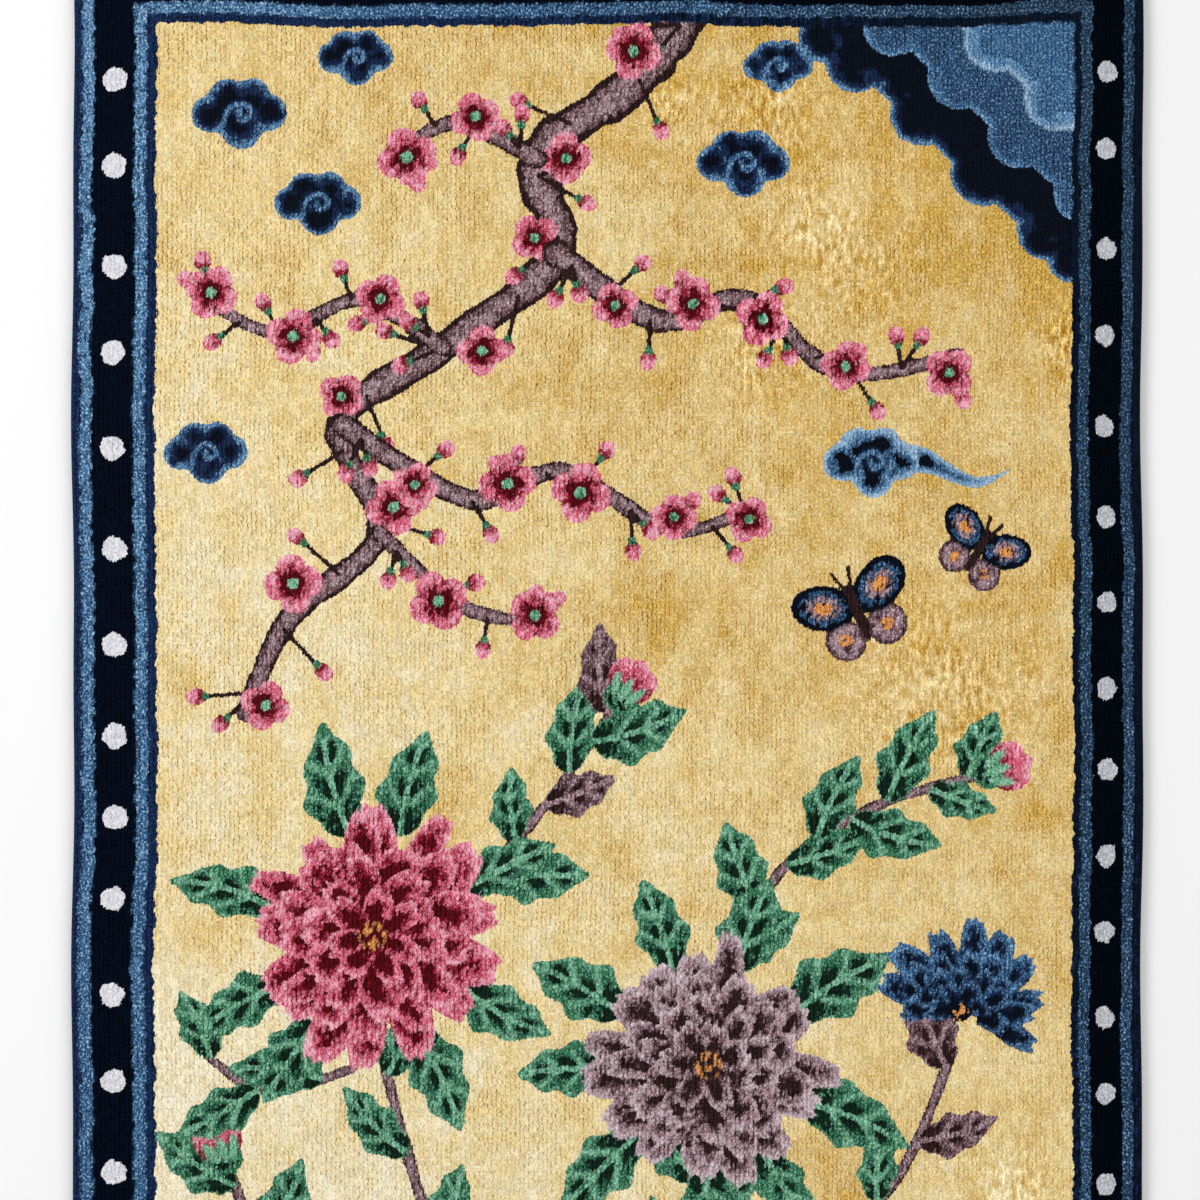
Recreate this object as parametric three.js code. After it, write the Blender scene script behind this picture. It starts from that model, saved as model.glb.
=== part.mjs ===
// A hand-knotted Chinese silk rug, lying flat with its pile up.
// Pile and woven foundation are one cloth, so the rug is one solid: a thin slab whose edges
// wander a little, as hand-woven edges do, and whose pile is rounded off all the way round.
// Millimetres, +Z up. The origin is on the floor, under the middle of the rug.
import * as THREE from 'three';
import { mergeVertices } from 'three/addons/utils/BufferGeometryUtils.js';

// Driving dimensions
const WIDTH = 760; // along X, from side to side
const LENGTH = 1220; // along Y, from end to end
const FOUNDATION = 2; // woven warps and wefts
const PILE = 7; // clipped silk standing on the foundation
const SHOULDER_RADIUS = 3.5; // rounding of the pile along the edges
const SHOULDER_STEPS = 4; // flats that make up that rounding
const UNDERSIDE_INSET = 0.5; // how far the back lies in from the outline where it meets the floor
const UNDERSIDE_RISE = 0.7; // height over which the edge comes out to the outline

// Cells of the top and bottom faces
const CELLS_ACROSS = 20;
const CELLS_ALONG = 32;

// Slow waves of a hand-woven outline: how far, how long a wave, and where along it the rug starts
const SIDE_WAVES = [
  { reach: 0.9, wave: 430, start: 0.6 },
  { reach: 0.5, wave: 190, start: 2.1 },
];
const END_WAVES = [
  { reach: 1.6, wave: 310, start: 1.1 },
  { reach: 0.8, wave: 150, start: 0.4 },
];
// The pile's top rises and falls by this much where it has been trodden and brushed
const PILE_WAVES = { reach: 0.3, waveAcross: 270, startAcross: 0.4, waveAlong: 340, startAlong: 0.9 };

// Points of neighbouring patches nearer than this are one point
const WELD = 1e-3;

// Colour of the yellow silk ground
const GROUND_SILK = new THREE.MeshStandardMaterial({ color: 0xe2c27a, roughness: 0.6, metalness: 0 });

// Sum of a table of waves at one place along an edge.
function waveAt(waves, place) {
  return waves.reduce(
    (sum, { reach, wave, start }) => sum + reach * Math.sin((2 * Math.PI * place) / wave + start),
    0,
  );
}

// Point of the rug at u across and v along, each from -1 to 1, for an outline drawn in by inset.
// Sideways wander holds all along the rug, and the wander of the rows fades out towards the middle.
function pointAt(u, v, inset, height) {
  const x = u * (WIDTH / 2 - inset);
  const y = v * (LENGTH / 2 - inset);
  return new THREE.Vector3(x + waveAt(SIDE_WAVES, y), y + waveAt(END_WAVES, x) * v * v, height);
}

// Edge profile from the floor up: how far each ring lies in from the outline, and how high.
function edgeRings() {
  const rings = [
    { inset: UNDERSIDE_INSET, height: 0 },
    { inset: 0, height: UNDERSIDE_RISE },
    { inset: 0, height: FOUNDATION },
  ];
  for (let step = 0; step <= SHOULDER_STEPS; step++) {
    const turn = (step / SHOULDER_STEPS) * (Math.PI / 2);
    rings.push({
      inset: SHOULDER_RADIUS * (1 - Math.cos(turn)),
      height: FOUNDATION + PILE - SHOULDER_RADIUS * (1 - Math.sin(turn)),
    });
  }
  return rings;
}

// Height of the trodden pile above or below its clipped level, nothing at the edges.
function pileRise(u, v) {
  const { reach, waveAcross, startAcross, waveAlong, startAlong } = PILE_WAVES;
  const across = Math.sin((Math.PI * WIDTH * u) / waveAcross + startAcross);
  const along = Math.sin((Math.PI * LENGTH * v) / waveAlong + startAlong);
  return reach * across * along * (1 - u * u) * (1 - v * v);
}

// The u and v of every point round the edge, counterclockwise from above.
function perimeter() {
  const line = (cells) => Array.from({ length: cells }, (_, i) => (2 * i) / cells - 1);
  return [
    ...line(CELLS_ACROSS).map((u) => [u, -1]),
    ...line(CELLS_ALONG).map((v) => [1, v]),
    ...line(CELLS_ACROSS).map((u) => [-u, 1]),
    ...line(CELLS_ALONG).map((v) => [-1, -v]),
  ];
}

// Adds the two triangles of a four-cornered patch, its corners counterclockwise from outside.
function addPatch(points, a, b, c, d) {
  points.push(a, b, c, a, c, d);
}

// Top or bottom face: a grid of patches at one ring's inset and height.
function addFace(points, ring, faceUp) {
  const corner = (column, row) => {
    const u = (2 * column) / CELLS_ACROSS - 1;
    const v = (2 * row) / CELLS_ALONG - 1;
    return pointAt(u, v, ring.inset, ring.height + (faceUp ? pileRise(u, v) : 0));
  };
  for (let column = 0; column < CELLS_ACROSS; column++) {
    for (let row = 0; row < CELLS_ALONG; row++) {
      const patch = [
        corner(column, row),
        corner(column + 1, row),
        corner(column + 1, row + 1),
        corner(column, row + 1),
      ];
      addPatch(points, ...(faceUp ? patch : patch.reverse()));
    }
  }
}

// Edge of the rug: a band of patches between each ring and the next one up.
function addEdge(points, rings) {
  const around = perimeter();
  for (let level = 0; level + 1 < rings.length; level++) {
    const [low, high] = [rings[level], rings[level + 1]];
    around.forEach(([u, v], i) => {
      const [nextU, nextV] = around[(i + 1) % around.length];
      addPatch(
        points,
        pointAt(u, v, low.inset, low.height),
        pointAt(nextU, nextV, low.inset, low.height),
        pointAt(nextU, nextV, high.inset, high.height),
        pointAt(u, v, high.inset, high.height),
      );
    });
  }
}

// The whole rug as one closed surface, moved so that the origin is under the middle of its box.
function rugGeometry() {
  const rings = edgeRings();
  const points = [];
  addFace(points, rings[0], false);
  addEdge(points, rings);
  addFace(points, rings[rings.length - 1], true);
  const geometry = mergeVertices(new THREE.BufferGeometry().setFromPoints(points), WELD);
  geometry.computeBoundingBox();
  const middle = geometry.boundingBox.getCenter(new THREE.Vector3());
  geometry.translate(-middle.x, -middle.y, 0);
  geometry.computeVertexNormals();
  return geometry;
}

const rug = new THREE.Mesh(rugGeometry(), GROUND_SILK);
rug.name = 'rug';

const part = new THREE.Group();
part.add(rug);

export default part;
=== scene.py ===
"""A hand-knotted Chinese silk rug: the clipped pile with its design, and the woven foundation under it.

The design is worked out on a weaver's chart in millimetres, with the origin under the middle of the rug,
+X to its right side and +Y to its top end. The chart gives each mesh its dyes, and the materials draw the
single knots. Meshes and stage are in metres.
"""

import math

import bpy
import numpy as np
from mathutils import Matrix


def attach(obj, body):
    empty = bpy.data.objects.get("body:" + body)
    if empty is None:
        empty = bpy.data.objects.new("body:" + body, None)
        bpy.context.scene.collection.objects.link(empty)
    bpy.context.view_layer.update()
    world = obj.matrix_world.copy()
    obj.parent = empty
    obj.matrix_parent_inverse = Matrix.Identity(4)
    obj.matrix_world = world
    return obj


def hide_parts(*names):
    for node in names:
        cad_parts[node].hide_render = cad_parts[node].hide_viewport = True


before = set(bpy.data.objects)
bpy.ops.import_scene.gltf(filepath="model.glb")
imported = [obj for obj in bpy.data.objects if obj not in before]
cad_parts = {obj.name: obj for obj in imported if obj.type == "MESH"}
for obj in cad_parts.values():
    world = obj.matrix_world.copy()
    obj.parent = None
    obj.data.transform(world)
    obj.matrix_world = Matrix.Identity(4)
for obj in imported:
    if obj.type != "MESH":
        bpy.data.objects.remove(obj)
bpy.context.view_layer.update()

MM = 0.001
SEED = 38
random = np.random.default_rng(SEED)
between = random.uniform


def table(columns, *rows):
    """The rows of a table, each a dictionary by the names of the columns."""
    names = columns.split()
    return tuple(dict(zip(names, row)) for row in rows)


# The rug's sizes, as in the part's solid
WIDTH = 760.0
LENGTH = 1220.0
FOUNDATION = 2.0
PILE = 7.0
SHOULDER_RADIUS = 3.5
UNDERSIDE_INSET = 0.5
UNDERSIDE_RISE = 0.7

# Slow waves of the hand-woven outline and of the trodden pile, as in the part's solid
SIDE_WAVES = table("reach wave start", (0.9, 430.0, 0.6), (0.5, 190.0, 2.1))
END_WAVES = table("reach wave start", (1.6, 310.0, 1.1), (0.8, 150.0, 0.4))
PILE_WAVES = {"reach": 0.3, "across": 270.0, "start_across": 0.4, "along": 340.0, "start_along": 0.9}

# Knots, each two mesh faces wide and two long
KNOT_COLUMNS = 238
KNOT_ROWS = 358
HALVES = 2
# The warps stand this much wider than their mean at the left, and closer at the right
WARP_SPREAD = 0.061
FACE_COLUMNS = KNOT_COLUMNS * HALVES
FACE_ROWS = KNOT_ROWS * HALVES
GRID = (FACE_ROWS + 1, FACE_COLUMNS + 1)

# The chart is finer than the mesh: samples to a face, and to the height of a tuft
SAMPLES = 3
TUFT_SAMPLES = 5
TUFT_LEAN = {"across": 0.3, "along": 0.5}  # how far a tuft may lean out of its place on the chart
DRIFT_LUMP = 8  # size of the slow changes from tuft to tuft, in millimetres

# How deep the pile parts, and how uneven its top is
SLIT = {"least": 0.05, "more": 0.7}
ROW_GAP = {"least": 0.05, "more": 0.25}
CARVED = 0.5  # clipped groove round each motif
LUMP = 0.14
BRUSHED_LUMP = 0.4
CROWN_JITTER = 0.1
# How far columns and rows of knots wander, and single points stray
WANDER = 0.35
STRAY = 0.1

# Dyed silks, as screen colours from 0 to 255
# Pitch, ink, slate and chalk darken the border's navy, blues and pearls to the right: partly dye, partly
# painted shade
DYES = {
    "straw": (242, 218, 158),
    "pitch": (1, 7, 18),
    "navy": (4, 13, 29),
    "ink": (13, 25, 42),
    "edge_blue": (24, 42, 76),
    "slate": (35, 60, 84),
    "steel": (42, 74, 110),
    "denim": (58, 98, 138),
    "sky": (90, 134, 174),
    "ice": (146, 180, 208),
    "chalk": (190, 192, 198),
    "bone": (208, 208, 214),
    "ivory": (226, 225, 231),
    "garnet": (88, 6, 17),
    "crimson": (136, 16, 40),
    "rose": (217, 104, 128),
    "blush": (243, 168, 187),
    "forest": (14, 40, 28),
    "fern": (32, 80, 58),
    "leaf": (56, 118, 86),
    "mint": (122, 182, 149),
    "bark": (50, 30, 30),
    "umber": (98, 70, 74),
    "mauve": (164, 134, 142),
    "lilac": (208, 188, 196),
    "dusk": (80, 54, 60),
    "amber": (222, 146, 76),
}
DYE_NAMES = tuple(DYES)
GROUND_DYE = "straw"
# The paling to the left and the gold to the right are partly dye and partly painted sheen and shade, as
# if lit more strongly from the left
PALEST_GROUND = (252, 243, 214)
RICHEST_GROUND = (215, 173, 82)
# How golden the ground is in the middle, from -1 to 1, and what the right, the top and a stain add
GROUND_GOLD = {"middle": 0.06, "right": 0.48, "top": 0.62, "stain": 0.6}
# Mottling of the ground: how much it adds, and the size of its lumps in millimetres
GROUND_MOTTLE = table(
    "share across along",
    (0.18, 110, 150),
    (0.28, 22, 30),
    (0.12, 400, 9),
    (0.28, 5, 10),
)
# Dyes laid over the other dyes of a motif
OVERLAY_DYES = (
    "slate", "steel", "sky", "ice", "chalk", "bone", "ivory", "garnet", "forest", "bark", "amber",
)

# Stripes of the border from the edge inwards, in knots
STRIPES = table(
    "dye left right ends",
    ("edge_blue", 1.8, 2.4, 2.0),
    ("sky", 2.5, 2.5, 2.5),
    ("navy", 8.7, 7.4, 8.5),
    ("sky", 2.5, 2.6, 2.5),
    ("edge_blue", 2.1, 1.7, 2.0),
)
# How far stripes wander slowly and from row to row, in knots
STRIPE_WANDER = 0.3
STRIPE_TEETH = 0.35
# Length of a slow wander, and a length past the whole border's breadth, in millimetres
STRIPE_WAVE = 26
BORDER_SPAN = 60
# Darkness of the stripes: in the middle, and what the way to the right side and to its top adds
STRIPE_DARKNESS = {"middle": 0.1, "right": 0.7, "upper_right": 0.5}
# The darkening to the right and to the upper right is partly dye and partly painted shade
# Dyes mixed into each of the stripes' dyes, each from its darkness on
STRIPE_SHADES = {
    "sky": (("denim", -0.25), ("steel", 0.6), ("slate", 1.0)),
    "edge_blue": (("ink", 0.8),),
    "navy": (("pitch", 0.6),),
}
BORDER_KNOTS = 17.5

# Columns and rows of pearls in the middle of the navy stripe, in knots: gaps run from the top or the left
PEARL_INSET = 8.75
PEARL_DENT = 0.034  # as a share of the radius
PEARLS = table(
    "line at dye radius gaps",
    ("column", PEARL_INSET, "ivory", 2.55,
     (20, 18, 21, 18, 20, 21, 20, 19, 17, 17, 20, 18, 19, 18, 18, 19, 18, 20)),
    # The right column's chalk is darker than the left's ivory: partly dye, partly painted shade
    ("column", KNOT_COLUMNS - PEARL_INSET, "chalk", 2.25,
     (19, 16, 21, 18, 19, 19, 18, 18, 17, 18, 16, 18, 16, 19, 18, 17, 18, 19, 19)),
    ("row", KNOT_ROWS - PEARL_INSET, "bone", 2.5, (18, 19, 18, 17, 18, 18, 19, 18, 18, 19, 19, 18)),
    ("row", PEARL_INSET, "bone", 2.5, (19, 18, 18, 19, 17, 18, 18, 19, 19, 18, 18, 18)),
)

# Boughs of the flowering tree: each tapers from root to tip, with blossoms and buds along it
BOUGHS = table(
    "root tip blossoms buds points",
    (32, 13, 8, 13, ((62, 566), (18, 508), (-50, 456), (-36, 388), (-116, 322), (-188, 268),
                     (-162, 190), (-226, 130), (-258, 62))),
    (19, 10, 5, 11, ((-36, 388), (36, 340), (98, 356), (166, 304), (250, 316))),
    (14, 9, 3, 7, ((-116, 322), (-176, 356), (-236, 332), (-292, 360))),
    (17, 9, 5, 10, ((-188, 268), (-98, 214), (-32, 234), (44, 192), (104, 208))),
    (12, 8, 2, 4, ((-162, 190), (-104, 138), (-44, 126))),
    (13, 9, 2, 4, ((-50, 456), (-108, 482), (-152, 458))),
)
WOOD_DYES = ("bark", "umber", "mauve")
BLOSSOM_RADIUS = 20.0
BUD_LENGTH = 14.0

# Stems of the garden plants, with leaves on alternate sides and perhaps a bud at the tip
STEMS = table(
    "root tip leaves bud points",
    (13, 10, 8, None, ((8, -566), (22, -440), (44, -340), (66, -262))),
    (10, 8, 7, None, ((14, -500), (-62, -400), (-124, -304), (-160, -180))),
    (9, 7, 6, None, ((30, -390), (132, -336), (204, -270), (246, -176))),
    (8, 7, 8, "rose", ((80, -120), (128, -44), (190, -4), (262, 18))),
    (8, 6, 6, "rose", ((-92, -60), (-38, 6), (4, 66))),
    (9, 7, 6, "rose", ((-62, -400), (-150, -392), (-232, -344), (-268, -262))),
    (8, 6, 5, "steel", ((20, -450), (122, -452), (216, -420), (268, -360))),
    (8, 6, 4, None, ((10, -530), (-112, -506), (-214, -474))),
    (7, 6, 3, None, ((-180, -190), (-244, -206), (-290, -176))),
)
BUD_DYES = {"rose": ("blush", "crimson"), "steel": ("sky", "navy")}  # pale and deep
LEAF_LENGTH = 66.0
BROWN_SHARE = 0.14  # of the leaves
GREEN_LEAF = ("leaf", "mint", "fern", "forest")
BROWN_LEAF = ("umber", "mauve", "dusk", "bark")

# Blooms: petals fill the angle fan, leaves stand round them, and dyes run from the rims to the heart
BLOOMS = table(
    "x y reach fan turn leaves dyes",
    (-166, -96, 98, 360, 8, 8, ("blush", "rose", "crimson", "garnet")),
    (72, -188, 94, 360, 0, 9, ("lilac", "mauve", "dusk", "bark")),
    (252, -150, 66, 200, 70, 0, ("sky", "denim", "edge_blue", "navy")),
)
# Rings of petals from the outside inwards, as shares of the bloom's reach
PETAL_RINGS = table(
    "root tip petals half",
    (0.36, 1.00, 15, 0.14),
    (0.28, 0.80, 13, 0.13),
    (0.18, 0.60, 10, 0.12),
    (0.06, 0.40, 7, 0.10),
)
PETAL_NOTCH = 6.5
PETAL_BANDS = (0.0, 0.34, 0.85, 1.15)  # where each dye of a petal starts, from its rim to its root

# Clouds, some trailing off to the right, 1, or to the left, -1
CLOUDS = table(
    "x y half trail",
    (-262, 486, 34, 0),
    (-206, 424, 31, 0),
    (-180, 528, 27, 0),
    (-284, 246, 30, 0),
    (96, 452, 33, 0),
    (120, 522, 25, 0),
    (188, 240, 34, 1),
    (-262, -480, 30, 0),
    (232, -500, 32, -1),
)
# Lobes and curl of a cloud, as shares of its half width
CLOUD_LOBES = table(
    "x y radius",
    (-0.62, 0.00, 0.38),
    (0.62, 0.04, 0.38),
    (-0.26, 0.34, 0.38),
    (0.28, 0.38, 0.36),
    (0.04, -0.30, 0.42),
    (0.00, 0.06, 0.50),
)
LOBE_BLEND = 2.0  # in millimetres
CLOUD_CURL = ((-0.34, -0.26), (-0.22, 0.10), (0.08, 0.22), (0.24, 0.02), (0.06, -0.12), (-0.02, 0.04))
# Bands of a cloud from its rim inwards: how deep each starts, in millimetres
CLOUD_BANDS = table("dye depth", ("sky", 0.0), ("steel", 1.8), ("edge_blue", 3.4), ("navy", 6.6))
PALE_BANDS = table("dye depth", ("ice", 0.0), ("sky", 2.2), ("steel", 4.2), ("navy", 7.0))
BAND_ROUGHNESS = {"cloud": 2.6, "trail": 1.6, "corner": 1.6}  # in millimetres

# Corners filled with cloud: which way the corner lies from the middle of the rug
CORNERS = table("right top", (1, 1), (-1, -1))
CORNER_REACH = 200.0
BANK_FILL = 6.0  # how far the bank reaches out under its lobes
# Lobes along its edge: how far in from the field's side and down from its end, and how large
CORNER_LOBES = table(
    "inward down radius",
    (176, 8, 17),
    (152, 26, 21),
    (118, 34, 19),
    (104, 62, 23),
    (72, 74, 18),
    (60, 104, 24),
    (30, 118, 18),
    (16, 146, 21),
    (0, 168, 15),
)
# Tiers of cloud behind one another, each set back so far towards the corner
CORNER_TIERS = table(
    "back bands",
    (0, CLOUD_BANDS),
    (26, table("dye depth", ("sky", 0.0), ("denim", 1.8), ("steel", 5.0))),
    (52, table("dye depth", ("ice", 0.0), ("sky", 2.2), ("denim", 8.0))),
)

BUTTERFLIES = table("x y span turn", (178, 132, 84, 24), (262, 176, 66, -32))

# Where the nap has been brushed up, and where the yellow has darkened
# There the pile is lumpier, and its colour takes painted glints and painted shade in its dips
BRUSHED = table(
    "x y across along",
    (112, 484, 52, 36),
    (165, 392, 50, 62),
    (245, 84, 66, 58),
    (322, 320, 16, 40),
    (60, 490, 40, 22),
    (120, 322, 40, 40),
    (292, -300, 40, 60),
)
BRUSHED_STRENGTH = {"mean": 0.9, "swing": 0.6}
STAINS = table(
    "x y reach",
    (-304, 85, 22),
    (-279, -92, 26),
    (37, 142, 34),
    (-120, -12, 30),
    (160, -290, 40),
)


# Small helpers

def soft_noise(x, y, across, along):
    """Smooth noise from -1 to 1 with lumps of that size."""
    column = (x - x.min()) / across
    row = (y - y.min()) / along
    grid = between(-1, 1, (int(row.max()) + 2, int(column.max()) + 2))
    left = column.astype(int)
    low = row.astype(int)
    right, high = (share**2 * (3 - 2 * share) for share in (column - left, row - low))
    below = grid[low, left] * (1 - right) + grid[low, left + 1] * right
    above = grid[low + 1, left] * (1 - right) + grid[low + 1, left + 1] * right
    return below * (1 - high) + above * high


def smooth_path(points, steps=8):
    """Points of a smooth line through a few places."""
    corners = np.array([points[0], *points, points[-1]], dtype=float)
    share = np.linspace(0, 1, steps, endpoint=False)[:, None]
    spans = []
    for before, start, end, after in zip(corners, corners[1:], corners[2:], corners[3:]):
        leaving = (end - before) / 2
        arriving = (after - start) / 2
        spans.append(
            start
            + share * leaving
            + share**2 * (3 * (end - start) - 2 * leaving - arriving)
            + share**3 * (2 * (start - end) + leaving + arriving)
        )
    return np.vstack([*spans, corners[-1:]])


def along_path(path, share):
    """Place and heading at a share of the way along a path."""
    index = min(int(share * (len(path) - 1)), len(path) - 2)
    step = path[index + 1] - path[index]
    return path[index] + step * (share * (len(path) - 1) - index), math.atan2(step[1], step[0])


def spread(path, count, start):
    """Places along a path, each with the heading there and a side, 1 or -1 in turn."""
    for index in range(count):
        place, heading = along_path(path, (index + start) / count)
        yield place, heading, 1 if index % 2 else -1


def turned(right, up, turn):
    """Places measured along a direction and beside it."""
    along = right * math.cos(turn) + up * math.sin(turn)
    return along, up * math.cos(turn) - right * math.sin(turn)


def linear(screen):
    """Screen colours from 0 to 255 as linear light."""
    share = np.asarray(screen, dtype=float) / 255
    return np.where(share <= 0.04045, share / 12.92, ((share + 0.055) / 1.055) ** 2.4)


# The chart

class Patch:
    """Samples of the chart round a place, measured from it along and beside a direction."""

    def __init__(self, chart, x, y, reach, turn=0.0):
        rows = slice(*np.searchsorted(chart.row_y, (y - reach, y + reach)))
        columns = slice(*np.searchsorted(chart.column_x, (x - reach, x + reach)))
        right = chart.seen_x[rows, columns] - x
        up = chart.seen_y[rows, columns] - y
        self.along, self.side = turned(right, up, turn)
        self.out = np.hypot(right, up)
        self.luck = chart.luck[rows, columns]
        self.drift = chart.drift[rows, columns]
        self.dye = chart.dye[rows, columns]

    def paint(self, where, dye, share=1.0):
        """Dyes the samples chosen, or a share of their tufts."""
        self.dye[where & (self.luck < share)] = DYE_NAMES.index(dye)

    def paint_bands(self, depth, bands, rough):
        """Dyes bands inwards from an outline, where depth is 0, with uneven edges between them."""
        uneven = depth * (1 + 0.6 * self.drift) + rough * (self.luck - 0.5)
        for band in bands:
            self.paint((depth > 0) & ((band is bands[0]) | (uneven > band["depth"])), band["dye"])

    def oval(self, along, side, half_length, half_breadth, lean=0.0):
        """How far out each sample lies in an oval, 1 on its outline."""
        lengthwise, breadthwise = turned(self.along - along, self.side - side, lean)
        return np.hypot(lengthwise / half_length, breadthwise / half_breadth)


class Chart:
    """The weaver's chart: the dye of each of its samples, several to a tuft."""

    def __init__(self):
        share = np.linspace(0, 1, FACE_COLUMNS * SAMPLES + 1)
        self.column_x = WIDTH * (share + WARP_SPREAD * share * (1 - share) - 0.5)
        self.row_y = np.linspace(-LENGTH / 2, LENGTH / 2, FACE_ROWS * SAMPLES + 1)
        self.x, self.y = np.meshgrid(self.column_x, self.row_y)
        tuft_column = (np.arange(self.column_x.size) + 1) // SAMPLES
        stagger = random.integers(0, TUFT_SAMPLES, tuft_column[-1] + 1)
        tuft_row = (np.arange(self.row_y.size)[:, None] + stagger[tuft_column]) // TUFT_SAMPLES
        lucks = random.random((3, tuft_row[-1].max() + 1, stagger.size))[:, tuft_row, tuft_column]
        self.luck = lucks[0]
        self.drift = soft_noise(self.x, self.y, DRIFT_LUMP, DRIFT_LUMP)
        self.seen_x = self.x + TUFT_LEAN["across"] * (2 * lucks[1] - 1)
        self.seen_y = self.y + TUFT_LEAN["along"] * (2 * lucks[2] - 1)
        self.dye = np.full(self.x.shape, DYE_NAMES.index(GROUND_DYE))

    def place(self, column, row):
        """Where a place given in knots from the left and the bottom lies."""
        steps = np.arange(self.column_x.size) / (HALVES * SAMPLES)
        return np.interp(column, steps, self.column_x), row * LENGTH / KNOT_ROWS - LENGTH / 2

    def has(self, names):
        """Which samples have one of these dyes, as 1 or 0."""
        return np.isin(self.dye, [DYE_NAMES.index(name) for name in names]).astype(float)


# Motifs of the field

def stroke(chart, points, root, tip, edge, core, glint):
    """A bough or stem: a dark outline round a stippled, paler core, tapering along its path."""
    path = smooth_path(points)
    low, high = path.min(axis=0), path.max(axis=0)
    middle = (low + high) / 2
    spot = Patch(chart, *middle, (high - low).max() / 2 + root)
    widths = np.linspace(root, tip, len(path)) * between(0.86, 1.16, len(path))
    depth = np.full(spot.out.shape, -np.inf)
    spans = zip(path[:-1] - middle, path[1:] - middle, widths[:-1] / 2, widths[1:] / 2)
    for start, end, start_half, end_half in spans:
        step = end - start
        right = spot.along - start[0]
        up = spot.side - start[1]
        share = np.clip((right * step[0] + up * step[1]) / (step @ step), 0, 1)
        distance = np.hypot(right - share * step[0], up - share * step[1])
        depth = np.maximum(depth, 1 - distance / (start_half + share * (end_half - start_half)))
    spot.paint(depth > 0, edge)
    spot.paint(depth > 0.22, core, 2.6 * depth - 0.2)
    spot.paint(depth > 0.3, glint, 1.2 * depth - 0.35)
    return path


def blossom(chart, x, y, radius, turn):
    """A four-petalled blossom with a crimson heart and a green eye."""
    spot = Patch(chart, x, y, radius * 1.1, turn)
    lobe = np.abs(np.cos(2 * np.arctan2(spot.side, spot.along)))
    share = spot.out / (radius * (0.64 + 0.36 * lobe**0.5))
    spot.paint(share < 1, "rose")
    spot.paint((share > 0.6) & (share < 1), "blush", 0.45)
    spot.paint((lobe < 0.3) & (share > 0.4) & (share < 0.96), "crimson", 0.85)
    spot.paint(share < 0.8, "crimson", 2.0 - 2.6 * share)
    spot.paint(share < 0.7, "garnet", 1.7 - 2.6 * share)
    spot.paint(spot.out < 0.2 * radius, "mint")
    spot.paint(spot.out < 0.2 * radius, "leaf", 0.35)


def small_bud(chart, x, y, turn, stalk):
    """A bud on a short stalk, which starts at x, y."""
    spot = Patch(chart, x, y, stalk + 2 * BUD_LENGTH, turn)
    spot.paint((spot.along > 0) & (spot.along < stalk) & (np.abs(spot.side) < 1.5), "bark")
    round_bud = spot.oval(stalk + BUD_LENGTH / 2, 0, BUD_LENGTH / 2, BUD_LENGTH * 0.42)
    spot.paint(round_bud < 1, "rose")
    spot.paint((round_bud < 1) & (spot.along > stalk + 0.4 * BUD_LENGTH), "blush", 0.6)
    spot.paint(round_bud < 1, "crimson", 1.5 - (spot.along - stalk) / (0.4 * BUD_LENGTH))
    spot.paint((np.abs(spot.along - stalk) < 2.4) & (np.abs(spot.side) < 2.6), "leaf")


def flowering_bough(chart, root, tip, blossoms, buds, points):
    """A bough, then buds and blossoms on alternate sides of it."""
    path = stroke(chart, points, root, tip, *WOOD_DYES)
    for index, ((x, y), heading, side) in enumerate(spread(path, buds, 0.55)):
        turn = heading + side * between(0.7, 1.5)
        small_bud(chart, x, y, turn, between(0.6, 0.9) * root + 8)
        if index % 3 == 0:
            small_bud(chart, x, y, turn + 0.7, between(0.4, 0.6) * root + 6)
    for (x, y), heading, side in spread(path, blossoms, 0.8):
        lift = between(0.2, 0.6) * root * side
        place = (x - lift * math.sin(heading), y + lift * math.cos(heading))
        blossom(chart, *place, BLOSSOM_RADIUS * between(0.78, 1.08), between(0, 1.5))


def leaf(chart, x, y, turn, length, bend, dyes):
    """A wavy-edged leaf with pale veins and dark hollows between them."""
    middle, light, shade, dark = dyes
    spot = Patch(chart, x, y, length * 1.1, turn)
    share = np.clip(spot.along / length, 0, 1)
    side = np.abs(spot.side - bend * length * share**2)
    widest = between(0.24, 0.3) * length
    waves = 1 + 0.13 * np.sin(6 * np.pi * share + 0.6)
    half = widest * np.sin(np.pi * share**0.8) ** 0.8 * waves
    rim = half - side
    body = (spot.along > 0) & (spot.along < length) & (rim > 0)
    from_rib = 0.5 - np.abs(((share - 0.3 * side / widest) * 3.4 + 0.15) % 1 - 0.5)
    on_vein = (from_rib < 0.1) | (side < 2.0)
    hollow = np.clip(5 * from_rib - 0.4, 0, 1) * rim / np.maximum(half, 1)
    spot.paint(body, middle)
    spot.paint(body, light, 0.3 + 0.2 * spot.drift)
    spot.paint(body & on_vein & (rim > 2), light, 0.7)
    depth = 2.4 * hollow - 0.5 * share + 0.4 * spot.drift
    spot.paint(body & ~on_vein, shade, depth - 0.1)
    spot.paint(body & ~on_vein, dark, depth - 0.55)
    spot.paint(body & (share < 0.3) & (side > 2.0) & (rim > 1), dark, 1.2 - 3 * share)


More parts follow.
